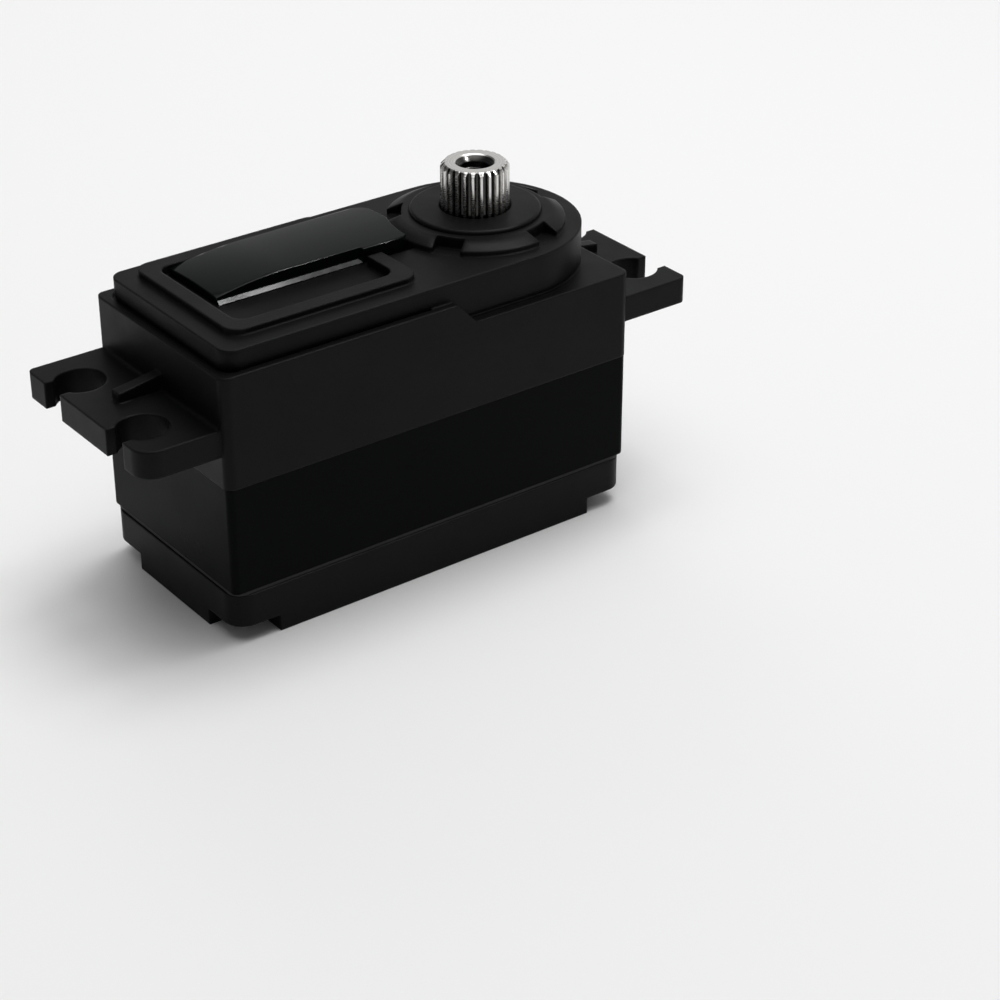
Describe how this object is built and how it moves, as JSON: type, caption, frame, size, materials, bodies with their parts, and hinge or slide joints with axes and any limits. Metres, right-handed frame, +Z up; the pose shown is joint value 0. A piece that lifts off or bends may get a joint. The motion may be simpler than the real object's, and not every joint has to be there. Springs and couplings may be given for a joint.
{
  "type": "servo motor",
  "caption": "Low-profile servo motor: black moulded case with slotted mounting ears, metal gear train and a splined steel output shaft.",
  "frame": {"origin": "bottom centre of the box round the whole servo, on the bottom cover's flat face", "axes": "+X along the case to the output end, -Y to the long front side, +Z up along the output shaft"},
  "size_m": [0.0546, 0.0198, 0.0314],
  "materials": {
    "case_plastic": "fine moulded texture, matte black",
    "middle_plastic": "smooth black with a faint cool tint",
    "label_gloss": "smooth glossy black, blank",
    "gasket_rubber": "matte black rubber",
    "o_ring_rubber": "black rubber, slightly shiny",
    "screw_steel": "zinc-plated steel",
    "bearing_steel": "ground and polished",
    "ball_steel": "polished",
    "cage_brass": "stamped",
    "shield_black": "black seals",
    "spline_steel": "machined, satin, bright on the tooth tips",
    "wheel_steel": "machined, satin",
    "pinion_steel": "machined, satin",
    "pin_steel": "ground",
    "pinion_brass": "machined",
    "can_steel": "drawn steel, satin",
    "magnet_dark": "sintered",
    "lamination_steel": "stacked sheet",
    "winding_copper": "enamelled copper",
    "contact_metal": "spring metal",
    "tinned_metal": "tinned",
    "bell_plastic": "moulded",
    "pot_plastic": "moulded",
    "track_carbon": "carbon film",
    "shaft_plastic": "moulded",
    "board_green": "solder mask",
    "chip_black": "moulded",
    "capacitor_can": "satin"
  },
  "bodies": {
    "case": {"top_case": "case_plastic", "label_plate": "label_gloss", "dust_cap": "case_plastic", "middle_case": "middle_plastic", "case_gasket": "gasket_rubber", "bottom_cover": "case_plastic", "case_screws": "screw_steel", "cable_grommet": "gasket_rubber", "upper_bearing_outer_ring": "bearing_steel", "upper_bearing_shields": "shield_black", "lower_bearing_outer_ring": "bearing_steel", "third_gear_pin": "pin_steel", "second_gear_pin": "pin_steel", "first_gear_pin": "pin_steel", "motor_can": "can_steel", "motor_magnets": "magnet_dark", "motor_brushes": "contact_metal", "motor_end_bell": "bell_plastic", "motor_bushes": "pinion_brass", "motor_screws": "screw_steel", "motor_terminals": "tinned_metal", "potentiometer_body": "pot_plastic", "potentiometer_track": "track_carbon", "potentiometer_pins": "tinned_metal", "control_board": "board_green", "microcontroller": "chip_black", "bridge_transistors": "chip_black", "capacitor": "capacitor_can"},
    "output_shaft": {"output_gear": "spline_steel", "output_o_ring": "o_ring_rubber", "upper_bearing_inner_ring": "bearing_steel", "lower_bearing_inner_ring": "bearing_steel", "potentiometer_shaft": "shaft_plastic", "potentiometer_wiper": "contact_metal"},
    "upper_bearing_ball_set": {"upper_bearing_balls": "ball_steel", "upper_bearing_cage": "cage_brass"},
    "lower_bearing_ball_set": {"lower_bearing_balls": "ball_steel", "lower_bearing_cage": "cage_brass"},
    "third_gear": {"third_gear_wheel": "wheel_steel", "third_gear_pinion": "pinion_steel"},
    "second_gear": {"second_gear_wheel": "wheel_steel", "second_gear_pinion": "pinion_steel"},
    "first_gear": {"first_gear_wheel": "wheel_steel", "first_gear_pinion": "pinion_steel"},
    "motor_rotor": {"motor_pinion": "pinion_brass", "motor_armature": "lamination_steel", "motor_windings": "winding_copper", "motor_shaft": "pin_steel", "motor_commutator": "winding_copper"}
  },
  "joints": [
    {"name": "output_shaft_turn", "type": "hinge", "parent": "case", "child": "output_shaft", "pos_m": [0.0112, 0, 0.02], "axis": [0, 0, 1], "range_deg": [-90, 90]},
    {"name": "third_gear_turn", "type": "hinge", "parent": "case", "child": "third_gear", "pos_m": [0.0017, 0.0014, 0.02], "axis": [0, 0, 1], "range_deg": [-342.01, 342.01]},
    {"name": "second_gear_turn", "type": "hinge", "parent": "case", "child": "second_gear", "pos_m": [-0.00628, 0, 0.02], "axis": [0, 0, 1], "range_deg": [-1504.81, 1504.81]},
    {"name": "first_gear_turn", "type": "hinge", "parent": "case", "child": "first_gear", "pos_m": [-0.01394, 0.00325, 0.02], "axis": [0, 0, 1], "range_deg": [-4084.47, 4084.47]},
    {"name": "motor_rotor_turn", "type": "hinge", "parent": "case", "child": "motor_rotor", "pos_m": [-0.0103, 0, 0.02], "axis": [0, 0, 1], "range_deg": [-10396.81, 10396.81]},
    {"name": "upper_bearing_ball_set_turn", "type": "hinge", "parent": "case", "child": "upper_bearing_ball_set", "pos_m": [0.0112, 0, 0.02], "axis": [0, 0, 1], "range_deg": [-38.82, 38.82]},
    {"name": "lower_bearing_ball_set_turn", "type": "hinge", "parent": "case", "child": "lower_bearing_ball_set", "pos_m": [0.0112, 0, 0.02], "axis": [0, 0, 1], "range_deg": [-38.82, 38.82]}
  ],
  "couplings": [
    {"joint": "third_gear_turn", "follows": "output_shaft_turn", "ratio": -3.8},
    {"joint": "second_gear_turn", "follows": "output_shaft_turn", "ratio": 16.72},
    {"joint": "first_gear_turn", "follows": "output_shaft_turn", "ratio": -45.383},
    {"joint": "motor_rotor_turn", "follows": "output_shaft_turn", "ratio": 115.52},
    {"joint": "upper_bearing_ball_set_turn", "follows": "output_shaft_turn", "ratio": 0.43125},
    {"joint": "lower_bearing_ball_set_turn", "follows": "output_shaft_turn", "ratio": 0.43125}
  ]
}
